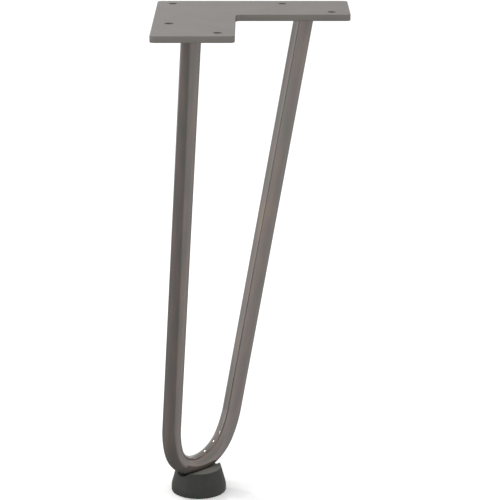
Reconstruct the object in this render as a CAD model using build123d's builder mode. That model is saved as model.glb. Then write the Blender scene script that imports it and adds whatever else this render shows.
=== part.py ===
# Hairpin table leg: a round steel tube bent into a narrow U and welded under an
# L-shaped screw plate, with a rubber foot screwed to the bend.
# Millimetres. The origin is on the plate's top face, straight above the bend's lowest point.
# The rear arm of the plate runs along +X, the front arm along -Y, and +Z is up.
import os
from math import asin, atan2, cos, degrees, hypot, radians, sin

from build123d import *

os.makedirs("parts", exist_ok=True)

# Whole leg
overall_height = 405.0
bend_inset = 28.8  # from the plate's two outer edges to the bend's lowest point

# Mounting plate
plate_length = 150.0  # outer edge of the L, the same along both arms
arm_width = 62.0
plate_thickness = 5.0
outer_corner_radius = 3.5
inner_corner_radius = 4.5
plate_edge_break = 0.4
screw_hole_diameter = 6.5
hole_edge_margin = 12.5  # from a long edge of an arm to the holes along it
hole_end_margin = 14.0  # from an arm's end to its last hole
hole_spacing = 86.0  # from the corner hole to the next one along either arm

# Hairpin tube
tube_diameter = 15.4
tube_wall = 1.5
bend_radius = 31.0  # of the tube's centre line, round the bottom of the bend
bend_turn = 136.0  # degrees that the tube turns at that radius
ease_radius = 80.0  # of the centre line from there to the straight rods
rod_inset = 29.5  # from the plate edge along an arm to the middle of the tube's end there
rod_reach = 115.5  # from the plate's other outer edge to the middle of that end

# Fillet welds round the tube's ends
weld_leg = 2.6
weld_toe = 0.3

# Rubber foot
foot_height = 20.7
foot_base_diameter = 45.3
foot_top_diameter = 37.0
foot_shoulder_height = 5.3  # where the upright side and the cone would meet, before rounding
foot_shoulder_round = 18.0
foot_base_round = 0.7
foot_rim_round = 0.5
foot_slide = 1.5  # from the bend's lowest point to the foot's axis, along the tube
foot_offset = 0.7  # and across the tube, towards the plate's notch
groove_depth = 5.9  # below the foot's top
groove_clearance = 0.15  # between the tube and the groove, on the radius
groove_bend_radius = 100.0  # of the groove's middle line, which opens out from under the bend
groove_lip_round = 6.0  # where the groove runs out onto the foot's top
recess_depth = 9.5  # in the underside, for the washer and the screw's head
recess_clearance = 0.5  # round the washer, on the radius

# Foot washer
washer_diameter = 18.0
washer_thickness = 1.6

# Foot screw
screw_diameter = 4.8
screw_reach = 6.5  # past the tube's outer wall, with its point
screw_point = 3.0
screw_fit = 0.15  # between the shank and the tube's wall, on the radius
screw_passage = 0.4  # between the shank and the washer or the foot, on the radius
head_diameter = 9.5
head_height = 3.4
head_round = 1.6
drive_width = 1.2
drive_span = 5.4
drive_depth = 1.9

# Levels that follow from the sizes above
tube_radius = tube_diameter / 2
groove_radius = tube_radius + groove_clearance
floor_level = -overall_height
foot_top_level = floor_level + foot_height
foot_shoulder_level = floor_level + foot_shoulder_height
bend_level = foot_top_level - groove_depth + groove_radius
washer_seat_level = floor_level + recess_depth
head_seat_level = washer_seat_level - washer_thickness
screw_tip_level = bend_level - tube_radius + screw_reach

# The U's own plane, which leans back from the plate down to the foot
front_end = Vector(rod_inset - bend_inset, bend_inset - rod_reach, -plate_thickness)
rear_end = Vector(rod_reach - bend_inset, bend_inset - rod_inset, -plate_thickness)
bend_bottom = Vector(0, 0, bend_level)
across = (rear_end - front_end).normalized()
upright = (front_end + rear_end) * 0.5 - bend_bottom
hairpin_plane = Plane(bend_bottom, x_dir=across, z_dir=across.cross(upright))
half_span = (rear_end - front_end).length / 2
rise = upright.length

# Where the easing arcs are centred, and the lean of the rods, which run on from them to the plate
ease_side = (ease_radius - bend_radius) * sin(radians(bend_turn / 2))
ease_height = bend_radius + (ease_radius - bend_radius) * cos(radians(bend_turn / 2))
ease_to_end = (half_span + ease_side, rise - ease_height)
leg_lean = atan2(*ease_to_end) - asin(ease_radius / hypot(*ease_to_end))
ease_turn = 90 - bend_turn / 2 - degrees(leg_lean)

# The axis that the foot, its washer and its screw share
foot_centre = across * foot_slide + Vector(1, -1, 0).normalized() * foot_offset
foot_axis = Axis(foot_centre, (0, 0, 1))
foot_upright = Plane(foot_centre, x_dir=(1, 0, 0), z_dir=(0, -1, 0))

# Mounting plate, drawn from its outer corner
plate_corner = Plane((-bend_inset, bend_inset, -plate_thickness))
next_hole = hole_edge_margin + hole_spacing
tip_hole = plate_length - hole_end_margin
inner_hole_line = arm_width - hole_edge_margin
hole_places = [
    (hole_edge_margin, -hole_edge_margin),
    (next_hole, -hole_edge_margin),
    (hole_edge_margin, -next_hole),
    (tip_hole, -inner_hole_line),
    (inner_hole_line, -tip_hole),
]
with BuildPart() as mounting_plate:
    with BuildSketch(plate_corner) as plate_outline:
        with BuildLine():
            Polyline(
                (0, 0),
                (plate_length, 0),
                (plate_length, -arm_width),
                (arm_width, -arm_width),
                (arm_width, -plate_length),
                (0, -plate_length),
                close=True,
            )
        make_face()
        inner_corner = plate_outline.vertices().sort_by_distance((arm_width, -arm_width))[0]
        fillet(inner_corner, inner_corner_radius)
        straight_corners = [
            (0, 0),
            (plate_length, 0),
            (plate_length, -arm_width),
            (arm_width, -plate_length),
            (0, -plate_length),
        ]
        corners = [plate_outline.vertices().sort_by_distance(place)[0] for place in straight_corners]
        fillet(corners, outer_corner_radius)
    extrude(amount=plate_thickness)
    chamfer(mounting_plate.edges().filter_by(Plane.XY), plate_edge_break)
    with Locations(plate_corner):
        with Locations(*hole_places):
            Hole(screw_hole_diameter / 2)
mounting_plate.part.label = "mounting_plate"
export_step(mounting_plate.part, "parts/mounting_plate.step")

# Hairpin tube, swept past the plate's underside and trimmed to it
trim_allowance = tube_diameter
leg_top = (
    half_span + trim_allowance * sin(leg_lean),
    rise + trim_allowance * cos(leg_lean),
)
with BuildPart() as hairpin_tube:
    with BuildLine(hairpin_plane) as hairpin_path:
        CenterArc((0, bend_radius), bend_radius, start_angle=270 - bend_turn / 2, arc_size=bend_turn)
        front_ease = CenterArc(
            (ease_side, ease_height),
            ease_radius,
            start_angle=270 - bend_turn / 2 - ease_turn,
            arc_size=ease_turn,
        )
        rear_ease = CenterArc(
            (-ease_side, ease_height),
            ease_radius,
            start_angle=270 + bend_turn / 2,
            arc_size=ease_turn,
        )
        front_leg = Line((-leg_top[0], leg_top[1]), front_ease @ 0)
        rear_leg = Line(rear_ease @ 1, leg_top)
    path_start = Plane(front_leg @ 0, x_dir=hairpin_plane.z_dir, z_dir=front_leg % 0)
    with BuildSketch(path_start) as tube_section:
        Circle(tube_radius)
        Circle(tube_radius - tube_wall, mode=Mode.SUBTRACT)
    sweep(path=hairpin_path.line)
    split(bisect_by=Plane.XY.offset(-plate_thickness), keep=Keep.BOTTOM)
    with BuildSketch(Plane(foot_centre).offset(bend_level)) as screw_hole:
        Circle(screw_diameter / 2 + screw_fit)
    extrude(amount=-tube_diameter, mode=Mode.SUBTRACT)
hairpin_tube.part.label = "hairpin_tube"
export_step(hairpin_tube.part, "parts/hairpin_tube.step")


def weld_bead(end, direction):
    """A fillet weld round a tube end that meets the plate at a slant."""
    sideways = Vector(direction.X, direction.Y, 0)
    bearing = degrees(atan2(sideways.Y, sideways.X))
    stretch = 1 / abs(direction.Z)
    down = direction * (weld_leg * stretch)
    with BuildPart() as bead:
        for centre, width in ((end, weld_leg), (end + down, weld_toe)):
            with BuildSketch(Plane(centre)):
                Ellipse(tube_radius * stretch + width, tube_radius + width, rotation=bearing)
        loft()
        with BuildSketch(Plane(end - direction * tube_diameter, z_dir=direction)):
            Circle(tube_radius)
        extrude(amount=2 * tube_diameter, mode=Mode.SUBTRACT)
    return bead


# Weld beads, one round each end of the tube
weld_ends = {
    "front_weld_bead": (front_end, front_leg % 0),
    "rear_weld_bead": (rear_end, (rear_leg % 0) * -1),
}
for name, (end, direction) in weld_ends.items():
    bead = weld_bead(end, direction)
    bead.part.label = name
    export_step(bead.part, f"parts/{name}.step")

# Rubber foot: a cone with a round groove along the U and a recess underneath
groove_plane = Plane(bend_bottom, x_dir=across, z_dir=across.cross(Vector(0, 0, 1)))
groove_turn = 2 * degrees(asin(foot_base_diameter / 2 / groove_bend_radius))
foot_shoulder = (foot_base_diameter / 2, foot_shoulder_level)
with BuildPart() as rubber_foot:
    with BuildSketch(foot_upright) as foot_profile:
        with BuildLine():
            Polyline(
                (0, floor_level),
                (foot_base_diameter / 2, floor_level),
                foot_shoulder,
                (foot_top_diameter / 2, foot_top_level),
                (0, foot_top_level),
                close=True,
            )
        make_face()
        fillet(foot_profile.vertices().sort_by_distance(foot_shoulder)[0], foot_shoulder_round)
    revolve(axis=foot_axis)
    circles = rubber_foot.edges().filter_by(GeomType.CIRCLE).sort_by(Axis.Z)
    fillet(circles[0], foot_base_round)
    with BuildLine(groove_plane) as groove_path:
        groove_line = CenterArc(
            (0, groove_bend_radius),
            groove_bend_radius,
            start_angle=270 - groove_turn / 2,
            arc_size=groove_turn,
        )
    with BuildSketch(Plane(groove_line @ 0, z_dir=groove_line % 0)) as groove_section:
        Circle(groove_radius)
    sweep(path=groove_path.line, mode=Mode.SUBTRACT)
    land_edges = rubber_foot.faces().filter_by(Plane.XY).group_by(Axis.Z)[-1].edges()
    lips = land_edges.filter_by(GeomType.CIRCLE, reverse=True)
    fillet(lips, groove_lip_round)
    with BuildSketch(Plane(foot_centre).offset(floor_level)) as recess:
        Circle(washer_diameter / 2 + recess_clearance)
    extrude(amount=recess_depth, mode=Mode.SUBTRACT)
    with BuildSketch(Plane(foot_centre).offset(floor_level)) as passage:
        Circle(screw_diameter / 2 + screw_passage)
    extrude(amount=foot_height, mode=Mode.SUBTRACT)
    rim = rubber_foot.faces().filter_by(Plane.XY).group_by(Axis.Z)[-1].edges().filter_by(GeomType.CIRCLE)
    fillet(rim, foot_rim_round)
rubber_foot.part.label = "rubber_foot"
export_step(rubber_foot.part, "parts/rubber_foot.step")

# Foot washer
with BuildPart() as foot_washer:
    with BuildSketch(Plane(foot_centre).offset(head_seat_level)) as washer_ring:
        Circle(washer_diameter / 2)
        Circle(screw_diameter / 2 + screw_passage, mode=Mode.SUBTRACT)
    extrude(amount=washer_thickness)
foot_washer.part.label = "foot_washer"
export_step(foot_washer.part, "parts/foot_washer.step")

# Foot screw, head down, with a pointed shank and a cross drive
with BuildPart() as foot_screw:
    with BuildSketch(Plane(foot_centre).offset(head_seat_level)) as head_disc:
        Circle(head_diameter / 2)
    extrude(amount=-head_height)
    fillet(foot_screw.edges().sort_by(Axis.Z)[0], head_round)
    with BuildSketch(foot_upright) as shank_profile:
        with BuildLine():
            Polyline(
                (0, head_seat_level),
                (screw_diameter / 2, head_seat_level),
                (screw_diameter / 2, screw_tip_level - screw_point),
                (0, screw_tip_level),
                close=True,
            )
        make_face()
    revolve(axis=foot_axis)
    with BuildSketch(Plane(foot_centre).offset(head_seat_level - head_height)) as cross_drive:
        Rectangle(drive_span, drive_width)
        Rectangle(drive_width, drive_span)
    extrude(amount=drive_depth, mode=Mode.SUBTRACT)
foot_screw.part.label = "foot_screw"
export_step(foot_screw.part, "parts/foot_screw.step")
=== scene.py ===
import math
import bmesh
import bpy
from mathutils import Matrix, Vector


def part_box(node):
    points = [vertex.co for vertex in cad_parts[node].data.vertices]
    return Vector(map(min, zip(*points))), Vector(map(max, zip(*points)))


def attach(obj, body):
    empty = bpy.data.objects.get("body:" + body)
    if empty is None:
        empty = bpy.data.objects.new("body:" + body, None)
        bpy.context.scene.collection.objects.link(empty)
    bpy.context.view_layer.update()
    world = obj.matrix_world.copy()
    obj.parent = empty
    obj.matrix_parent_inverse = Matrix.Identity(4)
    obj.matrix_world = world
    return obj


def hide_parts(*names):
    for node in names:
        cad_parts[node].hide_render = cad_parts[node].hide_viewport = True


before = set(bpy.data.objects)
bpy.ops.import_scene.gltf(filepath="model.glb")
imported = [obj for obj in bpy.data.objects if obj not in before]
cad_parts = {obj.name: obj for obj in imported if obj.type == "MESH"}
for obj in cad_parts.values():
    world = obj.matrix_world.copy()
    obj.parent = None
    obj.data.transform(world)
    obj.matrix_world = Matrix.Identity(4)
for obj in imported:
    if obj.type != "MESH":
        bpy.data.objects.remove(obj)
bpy.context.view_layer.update()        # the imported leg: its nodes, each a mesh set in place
onePoint = 1e-7          # points nearer than this count as one
scene = bpy.context.scene
scene.view_settings.view_transform = "Standard"


def linearColour(hexColour):        # an sRGB hex value as the linear colour that shaders take
    parts = [int(hexColour[i:i + 2], 16) / 255 for i in (1, 3, 5)]
    return [c / 12.92 if c <= 0.04045 else ((c + 0.055) / 1.055) ** 2.4 for c in parts] + [1.0]


def addNode(tree, kind, settings=None, links=None):        # one node with its settings and what feeds it
    node = tree.nodes.new(kind)
    for key, value in (settings or {}).items():
        if isinstance(key, str) and hasattr(node, key):
            setattr(node, key, value)
        else:
            node.inputs[key].default_value = value
    for key, source in (links or {}).items():
        tree.links.new(source, node.inputs[key])
    return node


def addObject(name, data):
    made = bpy.data.objects.new(name, data)
    scene.collection.objects.link(made)
    return made


def meshFrom(name, body):        # a finished bmesh as an object
    mesh = bpy.data.meshes.new(name)
    body.to_mesh(mesh)
    body.free()
    return addObject(name, mesh)


def plainMesh(source, name):        # what the modifiers make of an object, as a mesh object of its own
    graph = bpy.context.evaluated_depsgraph_get()
    mesh = bpy.data.meshes.new_from_object(
        source.evaluated_get(graph), preserve_all_data_layers=True, depsgraph=graph
    )
    bpy.data.objects.remove(source)
    return addObject(name, mesh)


def openMesh(piece):        # a piece's mesh, to be worked on
    body = bmesh.new()
    body.from_mesh(piece.data)
    return body


def closeMesh(piece, body):        # puts the mesh back into its piece
    body.to_mesh(piece.data)
    body.free()


def smoothShading(piece, sharpFrom):        # smooth, apart from edges that turn more than sharpFrom degrees
    piece.data.shade_smooth()
    piece.data.set_sharp_from_angle(angle=math.radians(sharpFrom))


def paint(piece, material):
    piece.data.materials.clear()
    piece.data.materials.append(material)


def newMaterial(name):        # a material to be filled, with its tree and its shader
    material = bpy.data.materials.new(name)
    material.use_nodes = True
    return material, material.node_tree, material.node_tree.nodes["Principled BSDF"]


def addTree(name, sockets):        # a Geometry Nodes tree with its named inputs, and its first and last node
    tree = bpy.data.node_groups.new(name, "GeometryNodeTree")
    for label, kind in sockets.items():
        tree.interface.new_socket(label, in_out="INPUT", socket_type=kind)
    tree.interface.new_socket("Mesh", in_out="OUTPUT", socket_type="NodeSocketGeometry")
    return tree, addNode(tree, "NodeGroupInput"), addNode(tree, "NodeGroupOutput")


def endTree(tree, geometry, finish, made):        # what every tree ends in
    real = addNode(tree, "GeometryNodeRealizeInstances", links={"Geometry": geometry})
    painted = addNode(
        tree, "GeometryNodeSetMaterial", links={"Geometry": real.outputs["Geometry"], "Material": finish}
    )
    tree.links.new(painted.outputs["Geometry"], made.inputs["Mesh"])


def growWith(source, tree, values):        # adds the tree to an object, each input set by its identifier
    modifier = source.modifiers.new(tree.name, "NODES")
    modifier.node_group = tree
    for item in tree.interface.items_tree:
        if item.in_out == "INPUT" and item.name in values:
            modifier[item.identifier] = values[item.name]


def addSpline(curve, points, closed):
    spline = curve.splines.new("POLY")
    spline.points.add(len(points) - 1)
    for place, point in zip(spline.points, points):
        place.co = (*Vector(point).to_3d(), 1.0)
    spline.use_cyclic_u = closed


def addCurve(name, points, closed=False):        # a poly line that a tree can follow
    curve = bpy.data.curves.new(name, "CURVE")
    curve.dimensions = "3D"
    curve.twist_mode = "Z_UP" if closed else "MINIMUM"
    addSpline(curve, points, closed)
    return addObject(name, curve)


def roundedCorner(before, corner, after, radius, steps):        # the arc that replaces a corner of an outline
    corner = Vector(corner)
    toBefore = (Vector(before) - corner).normalized()
    toAfter = (Vector(after) - corner).normalized()
    half = toBefore.angle(toAfter) / 2
    centre = corner + (toBefore + toAfter).normalized() * (radius / math.sin(half))
    start = (corner + toBefore * (radius / math.tan(half)) - centre).normalized()
    end = (corner + toAfter * (radius / math.tan(half)) - centre).normalized()
    return [centre + start.slerp(end, i / steps) * radius for i in range(steps + 1)]


def arcPoints(centre, radius, start, sweep, steps):        # points on an arc, angles in degrees
    angles = [math.radians(start + sweep * i / steps) for i in range(steps + 1)]
    return [(centre[0] + radius * math.cos(a), centre[1] + radius * math.sin(a)) for a in angles]


def circlePoints(centre, radius, steps):
    return arcPoints(centre, radius, 0, 360, steps)[:-1]


def turned(name, profile, steps, axis=(0, 0)):        # a profile of radius and height, turned upright
    body = bmesh.new()
    rings = []
    for radius, height in profile:
        spots = circlePoints(axis, radius, steps) if radius > onePoint else [axis]
        rings.append([body.verts.new((*spot, height)) for spot in spots])
    pairs = list(zip(rings, rings[1:]))
    if len(rings[0]) > 1 and len(rings[-1]) > 1:        # a ring-shaped piece closes on itself
        pairs.append((rings[-1], rings[0]))
    for low, high in pairs:
        for i in range(steps):
            j = (i + 1) % steps
            corners = [low[i % len(low)], low[j % len(low)], high[j % len(high)], high[i % len(high)]]
            body.faces.new(list(dict.fromkeys(corners)))
    bmesh.ops.recalc_face_normals(body, faces=body.faces)
    return meshFrom(name, body)


def roundBar(name, start, end, radius, steps):        # a cutting tool for round holes
    body = bmesh.new()
    way = Vector(end) - Vector(start)
    turn = way.to_track_quat("Z", "Y").to_matrix().to_4x4()
    place = Matrix.Translation((Vector(start) + Vector(end)) / 2) @ turn
    bmesh.ops.create_cone(
        body, cap_ends=True, segments=steps, radius1=radius, radius2=radius, depth=way.length, matrix=place
    )
    return meshFrom(name, body)


def skinned(name, rings):        # a cutting tool, its skin drawn over a row of outlines
    body = bmesh.new()
    rows = [[body.verts.new(spot) for spot in ring] for ring in rings]
    for back, front in zip(rows, rows[1:]):
        for i, spot in enumerate(back):
            body.faces.new((spot, back[i - 1], front[i - 1], front[i]))
    body.faces.new(rows[0])
    body.faces.new(rows[-1])
    bmesh.ops.recalc_face_normals(body, faces=body.faces)
    return meshFrom(name, body)


def cutAway(piece, tool):        # takes the tool's shape out of a piece
    cut = piece.modifiers.new("cut", "BOOLEAN")
    cut.operation = "DIFFERENCE"
    cut.solver = "EXACT"
    cut.object = tool
    piece = plainMesh(piece, piece.name)
    bpy.data.objects.remove(tool)
    return piece


def mergeNear(piece, distance):        # joins corners that a cut left almost touching
    weld = piece.modifiers.new("weld", "WELD")
    weld.merge_threshold = distance
    return plainMesh(piece, piece.name)


def breakEdges(piece, width, steps, sharpFrom):        # small rounds along every sharp edge
    bevel = piece.modifiers.new("edges", "BEVEL")
    bevel.width = width
    bevel.segments = steps
    bevel.limit_method = "ANGLE"
    bevel.angle_limit = math.radians(sharpFrom)
    bevel.use_clamp_overlap = True
    return plainMesh(piece, piece.name)


def finishPiece(piece, name, node):
    piece.name = name
    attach(piece, "root")
    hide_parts(node)
    print(piece.name, "stands for", node, "with", len(piece.data.polygons), "faces")


plateLow, plateHigh = [Vector(corner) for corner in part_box("mounting_plate")]
footLow, footHigh = [Vector(corner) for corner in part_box("rubber_foot")]
washerLow, washerHigh = [Vector(corner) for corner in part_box("foot_washer")]
screwLow, screwHigh = [Vector(corner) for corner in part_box("foot_screw")]
bendInset = -plateLow.x        # from the plate's outer edges to the bend's lowest point
underside = plateLow.z
footAxis = (footLow + footHigh).to_2d() / 2        # foot, washer and screw share it


# Cold-drawn mild steel tube under clear lacquer: brown-grey, mirror-like, with faint lines along it.
def drawnTubeSteel():
    look = dict(
        tints=((0.34, "#65655e"), (0.5, "#6d6563"), (0.66, "#746a62")),        # olive, mauve, tan
        tintLength=0.035, tintWidth=0.005, tintStart=11.7,
        lineHex="#5f5758", lineLength=0.12, linePitch=0.0011,        # wider apart than real lines, to show
        lineFrom=0.55, lineFull=0.75, lineShare=0.35, lineDepth=0.000004, relief=0.3,
        glossiest=0.06, dullest=0.11, metallic=0.5,        # the lacquer dims the metal's own mirror
    )
    material, tree, shader = newMaterial("lacquered drawn steel tube")
    # tubeSpace is each point's place along and across the tube
    straight = addNode(tree, "ShaderNodeAttribute", {"attribute_name": "tubeSpace"})
    tintScale = (1 / look["tintLength"], 1 / look["tintWidth"], 1 / look["tintWidth"])
    tintMap = addNode(
        tree, "ShaderNodeMapping", {"Scale": tintScale, "Location": (look["tintStart"], 0, 0)},
        {"Vector": straight.outputs["Vector"]},
    )
    tint = addNode(tree, "ShaderNodeTexNoise", {"Scale": 1.0, "Detail": 3.0}, {"Vector": tintMap.outputs[0]})
    tintRamp = addNode(tree, "ShaderNodeValToRGB", links={"Fac": tint.outputs["Fac"]})
    tintRamp.color_ramp.elements.new(0.5)
    for element, (spot, hexColour) in zip(tintRamp.color_ramp.elements, look["tints"]):
        element.position = spot
        element.color = linearColour(hexColour)
    lineScale = (1 / look["lineLength"], 1 / look["linePitch"], 1 / look["linePitch"])
    lineMap = addNode(tree, "ShaderNodeMapping", {"Scale": lineScale}, {"Vector": straight.outputs["Vector"]})
    lines = addNode(tree, "ShaderNodeTexNoise", {"Scale": 1.0, "Detail": 4.0}, {"Vector": lineMap.outputs[0]})
    lineMask = addNode(
        tree, "ShaderNodeMapRange",
        {"From Min": look["lineFrom"], "From Max": look["lineFull"], "To Max": look["lineShare"]},
        {"Value": lines.outputs["Fac"]},
    )
    colour = addNode(
        tree, "ShaderNodeMix", {"data_type": "RGBA", 7: linearColour(look["lineHex"])},
        {0: lineMask.outputs["Result"], 6: tintRamp.outputs["Color"]},
    )
    tree.links.new(colour.outputs[2], shader.inputs["Base Color"])
    gloss = addNode(
        tree, "ShaderNodeMapRange", {"To Min": look["glossiest"], "To Max": look["dullest"]},
        {"Value": lines.outputs["Fac"]},
    )
    tree.links.new(gloss.outputs["Result"], shader.inputs["Roughness"])
    relief = addNode(
        tree, "ShaderNodeBump", {"Strength": look["relief"], "Distance": look["lineDepth"]},
        {"Height": lines.outputs["Fac"]},
    )
    tree.links.new(relief.outputs["Normal"], shader.inputs["Normal"])
    shader.inputs["Metallic"].default_value = look["metallic"]
    return material


# Hot-rolled steel sheet, laser cut, under clear lacquer: even warm grey, soft sheen, a fine rolled grain.
def rolledPlateSteel():
    look = dict(
        shades=((0.3, "#686460"), (0.7, "#716d69")), mottle=0.03, grainShare=0.35,
        grainLength=0.012, grainWidth=0.0007,        # wider than a real rolled grain, to show
        grainDepth=0.000006, relief=0.3, glossiest=0.54, dullest=0.64, metallic=0.5,
    )
    material, tree, shader = newMaterial("lacquered rolled steel plate")
    place = addNode(tree, "ShaderNodeTexCoord")
    mottle = addNode(
        tree, "ShaderNodeTexNoise", {"Scale": 1 / look["mottle"], "Detail": 4.0},
        {"Vector": place.outputs["Object"]},
    )
    grainScale = (1 / look["grainLength"], 1 / look["grainWidth"], 1 / look["grainWidth"])
    grainMap = addNode(tree, "ShaderNodeMapping", {"Scale": grainScale}, {"Vector": place.outputs["Object"]})
    grain = addNode(
        tree, "ShaderNodeTexNoise", {"Scale": 1.0, "Detail": 3.0}, {"Vector": grainMap.outputs[0]}
    )
    both = addNode(
        tree, "ShaderNodeMix", {"data_type": "FLOAT", 0: look["grainShare"]},
        {2: mottle.outputs["Fac"], 3: grain.outputs["Fac"]},
    )
    ramp = addNode(tree, "ShaderNodeValToRGB", links={"Fac": both.outputs[0]})
    for element, (spot, hexColour) in zip(ramp.color_ramp.elements, look["shades"]):
        element.position = spot
        element.color = linearColour(hexColour)
    tree.links.new(ramp.outputs["Color"], shader.inputs["Base Color"])
    gloss = addNode(
        tree, "ShaderNodeMapRange", {"To Min": look["glossiest"], "To Max": look["dullest"]},
        {"Value": grain.outputs["Fac"]},
    )
    tree.links.new(gloss.outputs["Result"], shader.inputs["Roughness"])
    relief = addNode(
        tree, "ShaderNodeBump", {"Strength": look["relief"], "Distance": look["grainDepth"]},
        {"Height": grain.outputs["Fac"]},
    )
    tree.links.new(relief.outputs["Normal"], shader.inputs["Normal"])
    shader.inputs["Metallic"].default_value = look["metallic"]
    return material


# Mild steel weld metal, brushed and lacquered: darker and browner than the plate, scaly, unevenly glossy.
def weldSteel():
    look = dict(
        shades=((0.3, "#4f4640"), (0.65, "#6f6560")), scaleSize=0.0016, pitDepth=0.00005, relief=0.4,
        glossiest=0.25, dullest=0.5, metallic=0.9,
    )
    material, tree, shader = newMaterial("lacquered steel weld")
    place = addNode(tree, "ShaderNodeTexCoord")
    scales = addNode(
        tree, "ShaderNodeTexNoise", {"Scale": 1 / look["scaleSize"], "Detail": 4.0},
        {"Vector": place.outputs["Object"]},
    )
    ramp = addNode(tree, "ShaderNodeValToRGB", links={"Fac": scales.outputs["Fac"]})
    for element, (spot, hexColour) in zip(ramp.color_ramp.elements, look["shades"]):
        element.position = spot
        element.color = linearColour(hexColour)
    tree.links.new(ramp.outputs["Color"], shader.inputs["Base Color"])
    gloss = addNode(
        tree, "ShaderNodeMapRange", {"To Min": look["dullest"], "To Max": look["glossiest"]},
        {"Value": scales.outputs["Fac"]},
    )
    tree.links.new(gloss.outputs["Result"], shader.inputs["Roughness"])
    relief = addNode(
        tree, "ShaderNodeBump", {"Strength": look["relief"], "Distance": look["pitDepth"]},
        {"Height": scales.outputs["Fac"]},
    )
    tree.links.new(relief.outputs["Normal"], shader.inputs["Normal"])
    shader.inputs["Metallic"].default_value = look["metallic"]
    return material


# Moulded rubber: near-black with a green-grey cast, a matt skin with a fine grain, patches of tone, and a
# painted sheen that lightens the flat top.
def mouldedRubber():
    look = dict(
        # topSheenHex and topSheenDepth are a painted sheen: a lighter colour on the flat top that stands in
        # for light falling on it
        shades=((0.35, "#252622"), (0.7, "#2e2f2a")), patch=0.009, topSheenHex="#5b5a54", topSheenDepth=0.0008,
        grain=0.0006, grainDepth=0.00002, relief=0.25,        # coarser than the mould's own grain, to show
        glossiest=0.5, dullest=0.66, specular=0.3,
    )
    material, tree, shader = newMaterial("moulded rubber")
    place = addNode(tree, "ShaderNodeTexCoord")
    patches = addNode(
        tree, "ShaderNodeTexNoise", {"Scale": 1 / look["patch"], "Detail": 5.0},
        {"Vector": place.outputs["Object"]},
    )
    ramp = addNode(tree, "ShaderNodeValToRGB", links={"Fac": patches.outputs["Fac"]})
    for element, (spot, hexColour) in zip(ramp.color_ramp.elements, look["shades"]):
        element.position = spot
        element.color = linearColour(hexColour)
    parts = addNode(tree, "ShaderNodeSeparateXYZ", links={0: place.outputs["Object"]})
    paintedTopSheen = addNode(        # painted sheen: the flat top is lighter, as if catching light from above, while the groove is not
        tree, "ShaderNodeMapRange", {"From Min": footHigh.z - look["topSheenDepth"], "From Max": footHigh.z},
        {"Value": parts.outputs["Z"]},
    )
    # mixes the painted sheen colour into the flat top
    colour = addNode(
        tree, "ShaderNodeMix", {"data_type": "RGBA", 7: linearColour(look["topSheenHex"])},
        {0: paintedTopSheen.outputs["Result"], 6: ramp.outputs["Color"]},
    )
    tree.links.new(colour.outputs[2], shader.inputs["Base Color"])
    grain = addNode(
        tree, "ShaderNodeTexVoronoi", {"Scale": 1 / look["grain"]}, {"Vector": place.outputs["Object"]}
    )
    gloss = addNode(
        tree, "ShaderNodeMapRange", {"To Min": look["glossiest"], "To Max": look["dullest"]},
        {"Value": patches.outputs["Fac"]},
    )
    tree.links.new(gloss.outputs["Result"], shader.inputs["Roughness"])
    relief = addNode(
        tree, "ShaderNodeBump", {"Strength": look["relief"], "Distance": look["grainDepth"]},
        {"Height": grain.outputs["Distance"]},
    )
    tree.links.new(relief.outputs["Normal"], shader.inputs["Normal"])
    shader.inputs["Specular IOR Level"].default_value = look["specular"]
    return material


# Zinc-plated steel: pale blue-grey, satin, with soft patches where the plating lies thicker.
def zincPlatedSteel():
    look = dict(
        shades=((0.35, "#a2a5a6"), (0.65, "#c3c6c9")), patch=0.0025,
        glossiest=0.22, dullest=0.4, metallic=1.0,
    )
    material, tree, shader = newMaterial("zinc-plated steel")
    place = addNode(tree, "ShaderNodeTexCoord")
    patch = addNode(
        tree, "ShaderNodeTexNoise", {"Scale": 1 / look["patch"], "Detail": 3.0},
        {"Vector": place.outputs["Object"]},
    )
    ramp = addNode(tree, "ShaderNodeValToRGB", links={"Fac": patch.outputs["Fac"]})
    for element, (spot, hexColour) in zip(ramp.color_ramp.elements, look["shades"]):
        element.position = spot
        element.color = linearColour(hexColour)
    tree.links.new(ramp.outputs["Color"], shader.inputs["Base Color"])
    gloss = addNode(
        tree, "ShaderNodeMapRange", {"To Min": look["glossiest"], "To Max": look["dullest"]},
        {"Value": patch.outputs["Fac"]},
    )
    tree.links.new(gloss.outputs["Result"], shader.inputs["Roughness"])
    shader.inputs["Metallic"].default_value = look["metallic"]
    return material


tubeSteel = drawnTubeSteel()
plateSteel = rolledPlateSteel()
beadSteel = weldSteel()
footRubber = mouldedRubber()
zincSteel = zincPlatedSteel()
print("materials made")

# Mounting plate: an L-shaped outline with five holes, thickened and given rounded edges
plate = dict(
    length=0.15, armWidth=0.062, outerCorner=0.0035, innerCorner=0.0045, cornerSteps=10,
    edgeRound=0.0004, edgeSteps=2, holeDiameter=0.0065, holeSteps=56,
    holeEdgeMargin=0.0125, holeEndMargin=0.014, holeSpacing=0.086,
    seamMerge=0.000001, flatFrom=0.9999,        # a face whose normal is this upright is a broad one
)


def plateOutline():
    length, width = plate["length"], plate["armWidth"]
    corners = [(0, 0), (0, -length), (width, -length), (width, -width), (length, -width), (length, 0)]
    outline = []
    for i, corner in enumerate(corners):
        radius = plate["innerCorner"] if corner == (width, -width) else plate["outerCorner"]
        before, after = corners[i - 1], corners[(i + 1) % len(corners)]
        outline += roundedCorner(before, corner, after, radius, plate["cornerSteps"])
    return outline


def plateHoles():
    edge = plate["holeEdgeMargin"]
    following = edge + plate["holeSpacing"]
    tip = plate["length"] - plate["holeEndMargin"]
    inner = plate["armWidth"] - edge
    return [(edge, -edge), (following, -edge), (edge, -following), (tip, -inner), (inner, -tip)]


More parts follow.
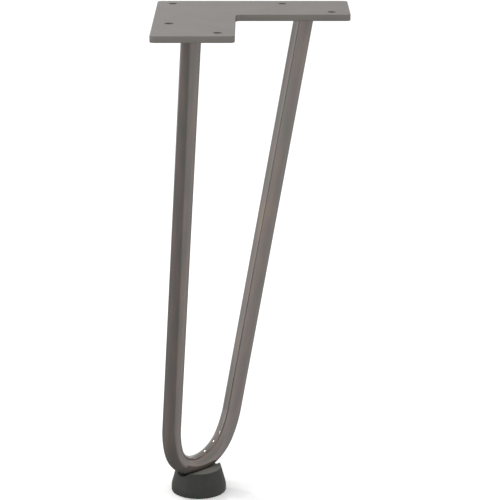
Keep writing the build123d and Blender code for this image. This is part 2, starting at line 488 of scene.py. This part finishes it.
def buildPlate():
    curve = bpy.data.curves.new("plateOutline", "CURVE")
    curve.dimensions = "2D"
    curve.fill_mode = "BOTH"
    curve.extrude = (plateHigh.z - plateLow.z) / 2 - plate["edgeRound"]
    curve.bevel_depth = plate["edgeRound"]
    curve.bevel_resolution = plate["edgeSteps"]
    curve.offset = -plate["edgeRound"]
    addSpline(curve, plateOutline(), True)
    for centre in plateHoles():
        addSpline(curve, circlePoints(centre, plate["holeDiameter"] / 2, plate["holeSteps"]), True)
    piece = plainMesh(addObject("plateOutline", curve), "mountingPlate")
    body = openMesh(piece)
    bmesh.ops.remove_doubles(body, verts=body.verts, dist=plate["seamMerge"])
    corner = Vector((plateLow.x, plateHigh.y, (plateLow.z + plateHigh.z) / 2))
    bmesh.ops.translate(body, verts=body.verts, vec=corner)
    bmesh.ops.recalc_face_normals(body, faces=body.faces)
    closeMesh(piece, body)
    piece.data.shade_smooth()
    keepFlat(piece)
    paint(piece, plateSteel)
    return piece


def keepFlat(piece):        # the two broad faces stay flat up to where their edges start to round
    body = openMesh(piece)
    for edge in body.edges:
        level = [abs(face.normal.z) > plate["flatFrom"] for face in edge.link_faces]
        edge.smooth = not (any(level) and not all(level))
    closeMesh(piece, body)


mountingPlate = buildPlate()
finishPiece(mountingPlate, "mountingPlate", "mounting_plate")

# Hairpin tube: a path of straight rods, easing arcs and a bend, and a tree that sweeps the tube along it
hairpin = dict(
    tubeDiameter=0.0154, tubeWall=0.0015, bendRadius=0.031, bendTurn=136, easeRadius=0.08, rodInset=0.0295,
    rodReach=0.1155, bendAboveFoot=0.00195, screwHole=0.0051, spareLength=0.02,
    rodSteps=30, bendSteps=96, easeSteps=16, aroundSteps=72, holeSteps=32, sharpFrom=40,
)
tubeRadius = hairpin["tubeDiameter"] / 2
frontEnd = Vector((hairpin["rodInset"] - bendInset, bendInset - hairpin["rodReach"], underside))
rearEnd = Vector((hairpin["rodReach"] - bendInset, bendInset - hairpin["rodInset"], underside))
bendBottom = Vector((0, 0, footHigh.z + hairpin["bendAboveFoot"]))
across = (rearEnd - frontEnd).normalized()
upright = (frontEnd + rearEnd) / 2 - bendBottom
rise = upright.length
upright.normalize()
halfSpan = (rearEnd - frontEnd).length / 2


def hairpinPath():
    radius, easing, half = hairpin["bendRadius"], hairpin["easeRadius"], hairpin["bendTurn"] / 2
    easeSide = (easing - radius) * math.sin(math.radians(half))
    easeHeight = radius + (easing - radius) * math.cos(math.radians(half))
    sideToEnd, riseToEnd = halfSpan + easeSide, rise - easeHeight
    lean = math.atan2(sideToEnd, riseToEnd) - math.asin(easing / math.hypot(sideToEnd, riseToEnd))
    easeTurn = 90 - half - math.degrees(lean)
    bend = arcPoints((0, radius), radius, 270, half, hairpin["bendSteps"] // 2)
    ease = arcPoints((-easeSide, easeHeight), easing, 270 + half, easeTurn, hairpin["easeSteps"])
    start = Vector(ease[-1])
    upRod = Vector((math.sin(lean), math.cos(lean)))
    rodLength = (Vector((halfSpan, rise)) - start).length + hairpin["spareLength"]
    rod = [start + upRod * (rodLength * i / hairpin["rodSteps"]) for i in range(1, hairpin["rodSteps"] + 1)]
    right = bend + ease[1:] + rod
    flat = [(-x, y) for x, y in reversed(right[1:])] + right
    return [bendBottom + across * x + upright * y for x, y in flat]


pathPoints = hairpinPath()


def sweptTubeTree():
    tree, given, made = addTree("sweptTube", {
        "Path": "NodeSocketGeometry", "Radius": "NodeSocketFloat", "Sides": "NodeSocketInt",
        "Finish": "NodeSocketMaterial",
    })
    along = addNode(tree, "GeometryNodeSplineParameter")
    path = addNode(tree, "GeometryNodeCaptureAttribute")
    path.capture_items.new("FLOAT", "along")
    tree.links.new(given.outputs["Path"], path.inputs["Geometry"])
    tree.links.new(along.outputs["Length"], path.inputs["along"])
    circle = addNode(
        tree, "GeometryNodeCurvePrimitiveCircle",
        links={"Radius": given.outputs["Radius"], "Resolution": given.outputs["Sides"]},
    )
    spot = addNode(tree, "GeometryNodeInputPosition")
    ring = addNode(tree, "GeometryNodeCaptureAttribute")
    ring.capture_items.new("VECTOR", "ring")
    tree.links.new(circle.outputs["Curve"], ring.inputs["Geometry"])
    tree.links.new(spot.outputs["Position"], ring.inputs["ring"])
    sweep = addNode(
        tree, "GeometryNodeCurveToMesh",
        links={"Curve": path.outputs["Geometry"], "Profile Curve": ring.outputs["Geometry"]},
    )
    ringParts = addNode(tree, "ShaderNodeSeparateXYZ", links={0: ring.outputs["ring"]})
    straight = addNode(        # where each point would be on the tube before it was bent
        tree, "ShaderNodeCombineXYZ",
        links={"X": path.outputs["along"], "Y": ringParts.outputs["X"], "Z": ringParts.outputs["Y"]},
    )
    kept = addNode(
        tree, "GeometryNodeStoreNamedAttribute",
        {"data_type": "FLOAT_VECTOR", "domain": "POINT", "Name": "tubeSpace"},
        {"Geometry": sweep.outputs["Mesh"], "Value": straight.outputs["Vector"]},
    )
    endTree(tree, kept.outputs["Geometry"], given.outputs["Finish"], made)
    return tree


def trimUnderPlate(piece):        # cuts the tube's ends off level with the plate's underside and closes them
    body = openMesh(piece)
    everything = body.verts[:] + body.edges[:] + body.faces[:]
    bmesh.ops.bisect_plane(
        body, geom=everything, plane_co=(0, 0, underside), plane_no=(0, 0, 1), clear_outer=True, dist=onePoint
    )
    rims = [edge for edge in body.edges if edge.is_boundary]
    for end in (frontEnd, rearEnd):
        near = [e for e in rims if (e.verts[0].co - end).length < hairpin["tubeDiameter"]]
        bmesh.ops.bridge_loops(body, edges=near)
    bmesh.ops.recalc_face_normals(body, faces=body.faces)
    closeMesh(piece, body)


def buildTube():
    source = addCurve("hairpinPath", pathPoints)
    growWith(source, sweptTubeTree(), {
        "Radius": tubeRadius, "Sides": hairpin["aroundSteps"], "Finish": tubeSteel,
    })
    piece = plainMesh(source, "hairpinTube")
    wall = piece.modifiers.new("wall", "SOLIDIFY")
    wall.thickness = hairpin["tubeWall"]
    wall.offset = -1
    wall.use_rim = False
    piece = plainMesh(piece, "hairpinTube")
    trimUnderPlate(piece)
    inside = Vector((*footAxis, bendBottom.z))
    below = inside - Vector((0, 0, hairpin["tubeDiameter"]))
    drill = roundBar("screwHole", below, inside, hairpin["screwHole"] / 2, hairpin["holeSteps"])
    piece = cutAway(piece, drill)
    smoothShading(piece, hairpin["sharpFrom"])
    return piece


hairpinTube = buildTube()
finishPiece(hairpinTube, "hairpinTube", "hairpin_tube")

# Weld beads: a fillet round each end of the tube, swept along the join, with the ripples of a hand weld
bead = dict(
    leg=0.0026, toe=0.0003, bulge=0.0003, ripplePitch=0.0016, rippleDepth=0.00028,
    pathSteps=320, faceSteps=8, sharpFrom=50,
)


def beadSection():        # across the bead: x out along the plate, y down along the tube
    leg, toe, bulge, steps = bead["leg"], bead["toe"], bead["bulge"], bead["faceSteps"]
    face = []
    for i in range(steps + 1):
        share = i / steps
        out = math.sin(share * math.pi) * bulge * math.sqrt(0.5)        # as much sideways as down
        face.append((leg + (toe - leg) * share + out, leg * share + out, 0))
    return [(0, 0, 0)] + face + [(0, leg, 0)]


def rippledWeldTree():
    tree, given, made = addTree("rippledWeld", {
        "Path": "NodeSocketGeometry", "Section": "NodeSocketObject", "Leg": "NodeSocketFloat",
        "Pitch": "NodeSocketFloat", "Depth": "NodeSocketFloat", "Slant": "NodeSocketVector",
        "Level": "NodeSocketFloat", "Finish": "NodeSocketMaterial",
    })
    along = addNode(tree, "GeometryNodeSplineParameter")
    path = addNode(tree, "GeometryNodeCaptureAttribute")
    path.capture_items.new("FLOAT", "along")
    tree.links.new(given.outputs["Path"], path.inputs["Geometry"])
    tree.links.new(along.outputs["Length"], path.inputs["along"])
    drawn = addNode(tree, "GeometryNodeObjectInfo", links={"Object": given.outputs["Section"]})
    spot = addNode(tree, "GeometryNodeInputPosition")
    section = addNode(tree, "GeometryNodeCaptureAttribute")
    section.capture_items.new("VECTOR", "place")
    tree.links.new(drawn.outputs["Geometry"], section.inputs["Geometry"])
    tree.links.new(spot.outputs["Position"], section.inputs["place"])
    sweep = addNode(
        tree, "GeometryNodeCurveToMesh",
        links={"Curve": path.outputs["Geometry"], "Profile Curve": section.outputs["Geometry"]},
    )
    shares = addNode(
        tree, "ShaderNodeVectorMath", {"operation": "DIVIDE"},
        {0: section.outputs["place"], 1: given.outputs["Leg"]},
    )
    parts = addNode(tree, "ShaderNodeSeparateXYZ", links={0: shares.outputs["Vector"]})
    onFace = addNode(        # nothing along the plate and the tube, most in the middle of the bead
        tree, "ShaderNodeMath", {"operation": "MULTIPLY"}, {0: parts.outputs["X"], 1: parts.outputs["Y"]}
    )
    fullness = addNode(        # that is a quarter in the middle, and one here
        tree, "ShaderNodeMath", {"operation": "MULTIPLY", 1: 4.0}, {0: onFace.outputs[0]}
    )
    ripples = addNode(
        tree, "ShaderNodeMath", {"operation": "DIVIDE"}, {0: path.outputs["along"], 1: given.outputs["Pitch"]}
    )
    crescent = addNode(        # each ripple runs ahead in the middle
        tree, "ShaderNodeMath", {"operation": "SUBTRACT"}, {0: ripples.outputs[0], 1: fullness.outputs[0]}
    )
    step = addNode(tree, "ShaderNodeMath", {"operation": "FRACT"}, {0: crescent.outputs[0]})
    swell = addNode(tree, "ShaderNodeMath", {"operation": "SQRT"}, {0: step.outputs[0]})
    height = addNode(
        tree, "ShaderNodeMath", {"operation": "MULTIPLY"}, {0: swell.outputs[0], 1: fullness.outputs[0]}
    )
    lift = addNode(
        tree, "ShaderNodeMath", {"operation": "MULTIPLY"}, {0: height.outputs[0], 1: given.outputs["Depth"]}
    )
    normal = addNode(tree, "GeometryNodeInputNormal")
    outward = addNode(
        tree, "ShaderNodeVectorMath", {"operation": "SCALE"}, {0: normal.outputs[0], "Scale": lift.outputs[0]}
    )
    rippled = addNode(
        tree, "GeometryNodeSetPosition",
        links={"Geometry": sweep.outputs["Mesh"], "Offset": outward.outputs["Vector"]},
    )
    now = addNode(tree, "GeometryNodeInputPosition")
    heights = addNode(tree, "ShaderNodeSeparateXYZ", links={0: now.outputs["Position"]})
    drop = addNode(
        tree, "ShaderNodeMath", {"operation": "SUBTRACT"},
        {0: heights.outputs["Z"], 1: given.outputs["Level"]},
    )
    shear = addNode(        # down the tube the bead leans with it
        tree, "ShaderNodeVectorMath", {"operation": "SCALE"},
        {0: given.outputs["Slant"], "Scale": drop.outputs[0]},
    )
    slanted = addNode(
        tree, "GeometryNodeSetPosition",
        links={"Geometry": rippled.outputs["Geometry"], "Offset": shear.outputs["Vector"]},
    )
    endTree(tree, slanted.outputs["Geometry"], given.outputs["Finish"], made)
    return tree


def joinLine(end, rodWay):        # the slanted tube's outline on the plate's underside
    bearing = math.atan2(rodWay.y, rodWay.x)
    longways = tubeRadius / abs(rodWay.z)
    line = []
    for x, y in circlePoints((0, 0), 1, bead["pathSteps"]):
        x, y = x * longways, y * tubeRadius
        turnedX = x * math.cos(bearing) - y * math.sin(bearing)
        turnedY = x * math.sin(bearing) + y * math.cos(bearing)
        line.append(end + Vector((turnedX, turnedY, 0)))
    return line


def buildBead(name, end, rodWay, tree):
    source = addCurve(name, joinLine(end, rodWay), closed=True)
    section = addCurve("beadSection", beadSection(), closed=True)
    length = math.tau * tubeRadius * (1 + 1 / abs(rodWay.z)) / 2
    ripples = round(length / bead["ripplePitch"])        # a whole number, so that the last meets the first
    growWith(source, tree, {
        "Section": section, "Leg": bead["leg"], "Pitch": length / ripples, "Depth": bead["rippleDepth"],
        "Slant": (rodWay.x / rodWay.z, rodWay.y / rodWay.z, 0), "Level": underside, "Finish": beadSteel,
    })
    piece = plainMesh(source, name)
    bpy.data.objects.remove(section)
    body = openMesh(piece)
    bmesh.ops.recalc_face_normals(body, faces=body.faces)
    closeMesh(piece, body)
    smoothShading(piece, bead["sharpFrom"])
    return piece


weldTree = rippledWeldTree()
frontBead = buildBead("frontWeldBead", frontEnd, (pathPoints[0] - pathPoints[1]).normalized(), weldTree)
finishPiece(frontBead, "frontWeldBead", "front_weld_bead")
rearBead = buildBead("rearWeldBead", rearEnd, (pathPoints[-1] - pathPoints[-2]).normalized(), weldTree)
finishPiece(rearBead, "rearWeldBead", "rear_weld_bead")

# Rubber foot: a turned cone, grooved for the bend, hollowed below for the washer and the screw's head
foot = dict(
    baseDiameter=0.0453, topDiameter=0.037, shoulderHeight=0.0053, shoulderRound=0.018,
    baseRound=0.0007, rimRound=0.0005, grooveClearance=0.00015, grooveBend=0.1, lipRound=0.006,
    recessDepth=0.0095, recessDiameter=0.019, passageDiameter=0.0056, spareDepth=0.01,
    softEdge=0.0003, edgeSteps=2, sharpFrom=35, cutMerge=0.0001, edgeMerge=0.000002,
    aroundSteps=128, sideSteps=10, roundSteps=8, grooveSteps=28, bottomSteps=24, lipSteps=10,
    recessSteps=64, passageSteps=32,
)


def footProfile():
    base, top = foot["baseDiameter"] / 2, foot["topDiameter"] / 2
    low, high = footLow.z, footHigh.z
    shoulder = (base, low + foot["shoulderHeight"])
    lowRound = roundedCorner((0, low), (base, low), shoulder, foot["baseRound"], foot["roundSteps"] // 2)
    sideRound = roundedCorner((base, low), shoulder, (top, high), foot["shoulderRound"], foot["roundSteps"])
    highRound = roundedCorner(shoulder, (top, high), (0, high), foot["rimRound"], foot["roundSteps"] // 2)
    side = [sideRound[-1].lerp(highRound[0], i / foot["sideSteps"]) for i in range(1, foot["sideSteps"])]
    return [Vector((0, low))] + lowRound + sideRound + side + highRound + [Vector((0, high))]


def grooveOutline(turn):        # square to the groove: a round bottom, and lips that curve out onto the top
    bend, radius, lip = foot["grooveBend"], tubeRadius + foot["grooveClearance"], foot["lipRound"]
    drop = (hairpin["bendAboveFoot"] + bend) / math.cos(turn) - bend        # down to the foot's top
    lipCentre = Vector((math.sqrt((radius + lip) ** 2 - (drop + lip) ** 2), -drop - lip))
    meeting = math.degrees(math.atan2(lipCentre.y, lipCentre.x))        # where lip and round bottom touch
    right = arcPoints((0, 0), radius, -90, 90 + meeting, foot["bottomSteps"])
    right += arcPoints(lipCentre, lip, 180 + meeting, -90 - meeting, foot["lipSteps"])[1:]
    right.append((lipCentre.x, foot["topDiameter"] / 2))
    sideways = across.cross(Vector((0, 0, 1)))
    inward = Vector((0, 0, math.cos(turn))) - across * math.sin(turn)
    middle = bendBottom + Vector((0, 0, bend)) - inward * bend
    flat = [(-x, y) for x, y in reversed(right[1:])] + right
    return [middle + sideways * x + inward * y for x, y in flat]


def buildFoot():
    piece = turned("rubberFoot", footProfile(), foot["aroundSteps"], tuple(footAxis))
    halfTurn = math.asin(foot["baseDiameter"] / 2 / foot["grooveBend"])
    steps = foot["grooveSteps"]
    outlines = [grooveOutline(halfTurn * (2 * i / steps - 1)) for i in range(steps + 1)]
    piece = cutAway(piece, skinned("groove", outlines))
    below = Vector((*footAxis, footLow.z - foot["spareDepth"]))
    recessTop = Vector((*footAxis, footLow.z + foot["recessDepth"]))
    grooveSpot = Vector((*footAxis, bendBottom.z))
    recess = roundBar("recess", below, recessTop, foot["recessDiameter"] / 2, foot["recessSteps"])
    piece = cutAway(piece, recess)
    passage = roundBar("passage", below, grooveSpot, foot["passageDiameter"] / 2, foot["passageSteps"])
    piece = cutAway(piece, passage)
    piece = mergeNear(piece, foot["cutMerge"])
    piece = breakEdges(piece, foot["softEdge"], foot["edgeSteps"], foot["sharpFrom"])
    piece = mergeNear(piece, foot["edgeMerge"])
    smoothShading(piece, foot["sharpFrom"])
    paint(piece, footRubber)
    return piece


rubberFoot = buildFoot()
finishPiece(rubberFoot, "rubberFoot", "rubber_foot")

# Foot washer: a stamped ring with one rolled and one sharper edge
washer = dict(
    holeDiameter=0.0056, rolledEdge=0.0005, sharpEdge=0.00015, edgeSteps=5, aroundSteps=96, sharpFrom=35,
)


def buildWasher():
    outer, inner = (washerHigh.x - washerLow.x) / 2, washer["holeDiameter"] / 2
    corners = [
        (inner, washerLow.z, "rolledEdge"), (outer, washerLow.z, "rolledEdge"),
        (outer, washerHigh.z, "sharpEdge"), (inner, washerHigh.z, "sharpEdge"),
    ]
    profile = []
    for i, (radius, height, edge) in enumerate(corners):
        before, after = corners[i - 1][:2], corners[(i + 1) % len(corners)][:2]
        profile += roundedCorner(before, (radius, height), after, washer[edge], washer["edgeSteps"])
    piece = turned("footWasher", profile, washer["aroundSteps"], tuple(footAxis))
    smoothShading(piece, washer["sharpFrom"])
    paint(piece, zincSteel)
    return piece


footWasher = buildWasher()
finishPiece(footWasher, "footWasher", "foot_washer")

# Foot screw: a turned pan head and shank, a cross drive, and a tree that cuts the thread into the shank
screw = dict(
    diameter=0.0048, pointLength=0.003, headDiameter=0.0095, headHeight=0.0034, headRound=0.0016,
    driveWidth=0.0012, driveSpan=0.0054, driveDepth=0.0019, plainLength=0.0016,
    threadPitch=0.0018, threadDepth=0.28,        # depth as a share of the radius
    crestShare=0.05, rootShare=0.25,        # where a flank starts and ends, in pitches
    roundSteps=8, ringsPerPitch=14, aroundSteps=64, sharpFrom=35,
)
headSeat = screwLow.z + screw["headHeight"]


def screwProfile():
    head, shank = screw["headDiameter"] / 2, screw["diameter"] / 2
    profile = [Vector((0, screwLow.z))]
    profile += roundedCorner(
        (0, screwLow.z), (head, screwLow.z), (head, headSeat), screw["headRound"], screw["roundSteps"]
    )
    profile += [Vector((head, headSeat)), Vector((shank, headSeat))]
    length = screwHigh.z - headSeat
    rings = round(length / screw["threadPitch"] * screw["ringsPerPitch"])
    for i in range(1, rings + 1):
        height = headSeat + length * i / rings
        profile.append(Vector((min(shank, shank * (screwHigh.z - height) / screw["pointLength"]), height)))
    return profile


def crossOutline(height):        # of the drive, corner by corner
    wide, long = screw["driveWidth"] / 2, screw["driveSpan"] / 2
    arm = [(long, -wide), (long, wide), (wide, wide)]
    turns = ((1, 0), (0, 1), (-1, 0), (0, -1))        # cosine and sine of each quarter turn
    return [Vector((x * c - y * s, x * s + y * c, height)) for c, s in turns for x, y in arm]


def screwThreadTree():
    tree, given, made = addTree("screwThread", {
        "Blank": "NodeSocketGeometry", "Pitch": "NodeSocketFloat", "Depth": "NodeSocketFloat",
        "Crest": "NodeSocketFloat", "Root": "NodeSocketFloat", "Start": "NodeSocketFloat",
        "Finish": "NodeSocketMaterial",
    })
    spot = addNode(tree, "GeometryNodeInputPosition")
    parts = addNode(tree, "ShaderNodeSeparateXYZ", links={0: spot.outputs["Position"]})
    angle = addNode(
        tree, "ShaderNodeMath", {"operation": "ARCTAN2"}, {0: parts.outputs["Y"], 1: parts.outputs["X"]}
    )
    turns = addNode(tree, "ShaderNodeMath", {"operation": "DIVIDE", 1: math.tau}, {0: angle.outputs[0]})
    climb = addNode(
        tree, "ShaderNodeMath", {"operation": "DIVIDE"}, {0: parts.outputs["Z"], 1: given.outputs["Pitch"]}
    )
    phase = addNode(
        tree, "ShaderNodeMath", {"operation": "SUBTRACT"}, {0: climb.outputs[0], 1: turns.outputs[0]}
    )
    wave = addNode(        # half a pitch up and half a pitch down
        tree, "ShaderNodeMath", {"operation": "PINGPONG", 1: 0.5}, {0: phase.outputs[0]}
    )
    flank = addNode(tree, "ShaderNodeMapRange", links={        # sharp crests and broad roots
        "Value": wave.outputs[0], "From Min": given.outputs["Crest"], "From Max": given.outputs["Root"],
    })
    runIn = addNode(
        tree, "ShaderNodeMath", {"operation": "ADD"}, {0: given.outputs["Start"], 1: given.outputs["Pitch"]}
    )
    starts = addNode(
        tree, "ShaderNodeMapRange",
        links={"Value": parts.outputs["Z"], "From Min": given.outputs["Start"], "From Max": runIn.outputs[0]},
    )
    deep = addNode(
        tree, "ShaderNodeMath", {"operation": "MULTIPLY"}, {0: flank.outputs[0], 1: starts.outputs[0]}
    )
    cut = addNode(
        tree, "ShaderNodeMath", {"operation": "MULTIPLY"}, {0: deep.outputs[0], 1: given.outputs["Depth"]}
    )
    inward = addNode(tree, "ShaderNodeMath", {"operation": "MULTIPLY", 1: -1.0}, {0: cut.outputs[0]})
    radial = addNode(tree, "ShaderNodeCombineXYZ", links={"X": parts.outputs["X"], "Y": parts.outputs["Y"]})
    offset = addNode(
        tree, "ShaderNodeVectorMath", {"operation": "SCALE"},
        {0: radial.outputs[0], "Scale": inward.outputs[0]},
    )
    threaded = addNode(
        tree, "GeometryNodeSetPosition",
        links={"Geometry": given.outputs["Blank"], "Offset": offset.outputs["Vector"]},
    )
    endTree(tree, threaded.outputs["Geometry"], given.outputs["Finish"], made)
    return tree


def buildScrew():
    piece = turned("footScrew", screwProfile(), screw["aroundSteps"])
    growWith(piece, screwThreadTree(), {
        "Pitch": screw["threadPitch"], "Depth": screw["threadDepth"], "Crest": screw["crestShare"],
        "Root": screw["rootShare"], "Start": headSeat + screw["plainLength"], "Finish": zincSteel,
    })
    piece = plainMesh(piece, "footScrew")
    deep = screw["driveDepth"]
    outlines = [crossOutline(screwLow.z + level) for level in (-deep, deep)]
    piece = cutAway(piece, skinned("drive", outlines))
    piece.data.transform(Matrix.Translation((*footAxis, 0)))
    smoothShading(piece, screw["sharpFrom"])
    return piece


footScrew = buildScrew()
finishPiece(footScrew, "footScrew", "foot_screw")

# Studio: a white floor, room light that is darker low at the left and behind, and three small soft lamps
studio = dict(floorSize=16.0, floorHex="#fafafa")
floorMesh = bpy.data.meshes.new("floor")
half = studio["floorSize"] / 2
floorCorners = [(-half, -half, 0), (half, -half, 0), (half, half, 0), (-half, half, 0)]
floorMesh.from_pydata(floorCorners, [], [(0, 1, 2, 3)])
floor = addObject("floor", floorMesh)
floor.location.z = footLow.z
floor.visible_glossy = floor.visible_diffuse = floor.visible_shadow = False
floorPaint, floorTree, floorShader = newMaterial("matt white floor")
floorShader.inputs["Base Color"].default_value = linearColour(studio["floorHex"])
floorShader.inputs["Roughness"].default_value = 1.0
floorShader.inputs["Specular IOR Level"].default_value = 0.0
floorSide = addNode(floorTree, "ShaderNodeNewGeometry")
clear = addNode(floorTree, "ShaderNodeBsdfTransparent")        # from below, to show the leg's underside
oneSided = addNode(
    floorTree, "ShaderNodeMixShader",
    links={0: floorSide.outputs["Backfacing"], 1: floorShader.outputs["BSDF"], 2: clear.outputs["BSDF"]},
)
floorTree.links.new(oneSided.outputs["Shader"], floorTree.nodes["Material Output"].inputs["Surface"])
paint(floor, floorPaint)


def roomLight():
    room = dict(        # levels are degrees above the horizon and the brightness there
        levels=((-90, 0.5), (-48, 0.7), (-38, 0.95), (-25, 1.2), (-15, 1.3), (-5, 1.3), (12, 1.1), (90, 1.0)),
        darkWay=(1.0, -0.116, 3.329), darkFrom=-1.67, lowWay=(0.117, -0.12, 1.0), lowFrom=-0.374,
        darkBlur=0.05, darkShare=0.33, leftLift=0.25,
        glowWay=(-0.84, -0.545, 0.0), glowFrom=0.93, glowFull=0.97, glowLift=0.28,
        backTop=0.02, backBottom=-0.06, backFrom=0.15, backFull=0.6, backShare=0.55,
    )
    world = bpy.data.worlds.new("studio room")
    scene.world = world
    world.use_nodes = True
    tree = world.node_tree
    background = tree.nodes["Background"]
    way = addNode(tree, "ShaderNodeTexCoord")
    parts = addNode(tree, "ShaderNodeSeparateXYZ", links={0: way.outputs["Generated"]})
    height = addNode(
        tree, "ShaderNodeMapRange", {"From Min": -1.0, "From Max": 1.0}, {"Value": parts.outputs["Z"]}
    )
    byHeight = addNode(tree, "ShaderNodeValToRGB", links={"Fac": height.outputs["Result"]})
    ramp = byHeight.color_ramp
    while len(ramp.elements) < len(room["levels"]):
        ramp.elements.new(0.5)
    for element, (degrees, level) in zip(ramp.elements, room["levels"]):
        element.position = (math.sin(math.radians(degrees)) + 1) / 2
        element.color = (level, level, level, 1)

    darkSides = []        # the dark part of the room lies where both of these overlap
    for facing, border in ((room["darkWay"], room["darkFrom"]), (room["lowWay"], room["lowFrom"])):
        along = addNode(
            tree, "ShaderNodeVectorMath", {"operation": "DOT_PRODUCT", 1: facing},
            {0: way.outputs["Generated"]},
        )
        side = addNode(
            tree, "ShaderNodeMapRange",
            {"From Min": border + room["darkBlur"], "From Max": border - room["darkBlur"]},
            {"Value": along.outputs["Value"]},
        )
        darkSides.append(side.outputs["Result"])
    isDark = addNode(tree, "ShaderNodeMath", {"operation": "MULTIPLY"}, {0: darkSides[0], 1: darkSides[1]})
    darkened = addNode(
        tree, "ShaderNodeMapRange", {"To Min": 1.0, "To Max": room["darkShare"]}, {"Value": isDark.outputs[0]}
    )
    lifted = addNode(        # brighter towards the left
        tree, "ShaderNodeMapRange",
        {"From Min": 0.0, "From Max": -1.0, "To Min": 1.0, "To Max": 1 + room["leftLift"]},
        {"Value": parts.outputs["X"]},
    )
    nearGlow = addNode(
        tree, "ShaderNodeVectorMath", {"operation": "DOT_PRODUCT", 1: room["glowWay"]},
        {0: way.outputs["Generated"]},
    )
    glow = addNode(        # a brighter patch in front at the left
        tree, "ShaderNodeMapRange", {
            "From Min": room["glowFrom"], "From Max": room["glowFull"],
            "To Min": 1.0, "To Max": 1 + room["glowLift"],
        },
        {"Value": nearGlow.outputs["Value"]},
    )
    lowBack = addNode(
        tree, "ShaderNodeMapRange", {"From Min": room["backTop"], "From Max": room["backBottom"]},
        {"Value": parts.outputs["Z"]},
    )
    towardsBack = addNode(
        tree, "ShaderNodeMapRange", {"From Min": room["backFrom"], "From Max": room["backFull"]},
        {"Value": parts.outputs["Y"]},
    )
    isLowBack = addNode(        # low and behind, where the room is darker
        tree, "ShaderNodeMath", {"operation": "MULTIPLY"},
        {0: lowBack.outputs["Result"], 1: towardsBack.outputs["Result"]},
    )
    backShade = addNode(
        tree, "ShaderNodeMapRange", {"To Min": 1.0, "To Max": room["backShare"]},
        {"Value": isLowBack.outputs[0]},
    )
    strength = byHeight.outputs["Color"]
    for share in (darkened, lifted, glow, backShade):
        product = addNode(
            tree, "ShaderNodeMath", {"operation": "MULTIPLY"}, {0: strength, 1: share.outputs["Result"]}
        )
        strength = product.outputs[0]
    tree.links.new(strength, background.inputs["Strength"])
    background.inputs["Color"].default_value = (1, 1, 1, 1)


def addLamp(name, way, distance, size, radiance):        # a round soft lamp that faces the bend
    light = bpy.data.lights.new(name, "AREA")
    light.shape = "DISK"
    light.size = size
    light.energy = radiance * math.pi * math.pi * (size / 2) ** 2        # watts for that radiance and size
    lamp = addObject(name, light)
    lamp.location = bendBottom + Vector(way).normalized() * distance
    lamp.rotation_euler = Vector(way).to_track_quat("Z", "Y").to_euler()
    lamp.visible_camera = False


lamps = dict(
    distance=1.8, radiance=55.0, sizes=(0.08, 0.15, 0.19),
    ways=((-0.899, -0.358, 0.211), (-0.77, 0.108, 0.628), (-0.246, 0.547, 0.806)),        # from the bend
)
roomLight()
for number, (way, size) in enumerate(zip(lamps["ways"], lamps["sizes"])):
    addLamp(f"softLamp{number}", way, lamps["distance"], size, lamps["radiance"])

# Camera: placed as the photograph's, with lens and sensor in millimetres and the tilt in degrees
photo = dict(lens=150.646, sensor=36.0, place=(0.0442, -1.61526, 0.28412), downTilt=16.5977)
cameraData = bpy.data.cameras.new("photoCamera")
cameraData.lens = photo["lens"]
cameraData.sensor_width = photo["sensor"]
camera = addObject("photoCamera", cameraData)
camera.location = photo["place"]
camera.rotation_euler = (math.radians(90 - photo["downTilt"]), 0, 0)
scene.camera = camera
print("studio and camera made")
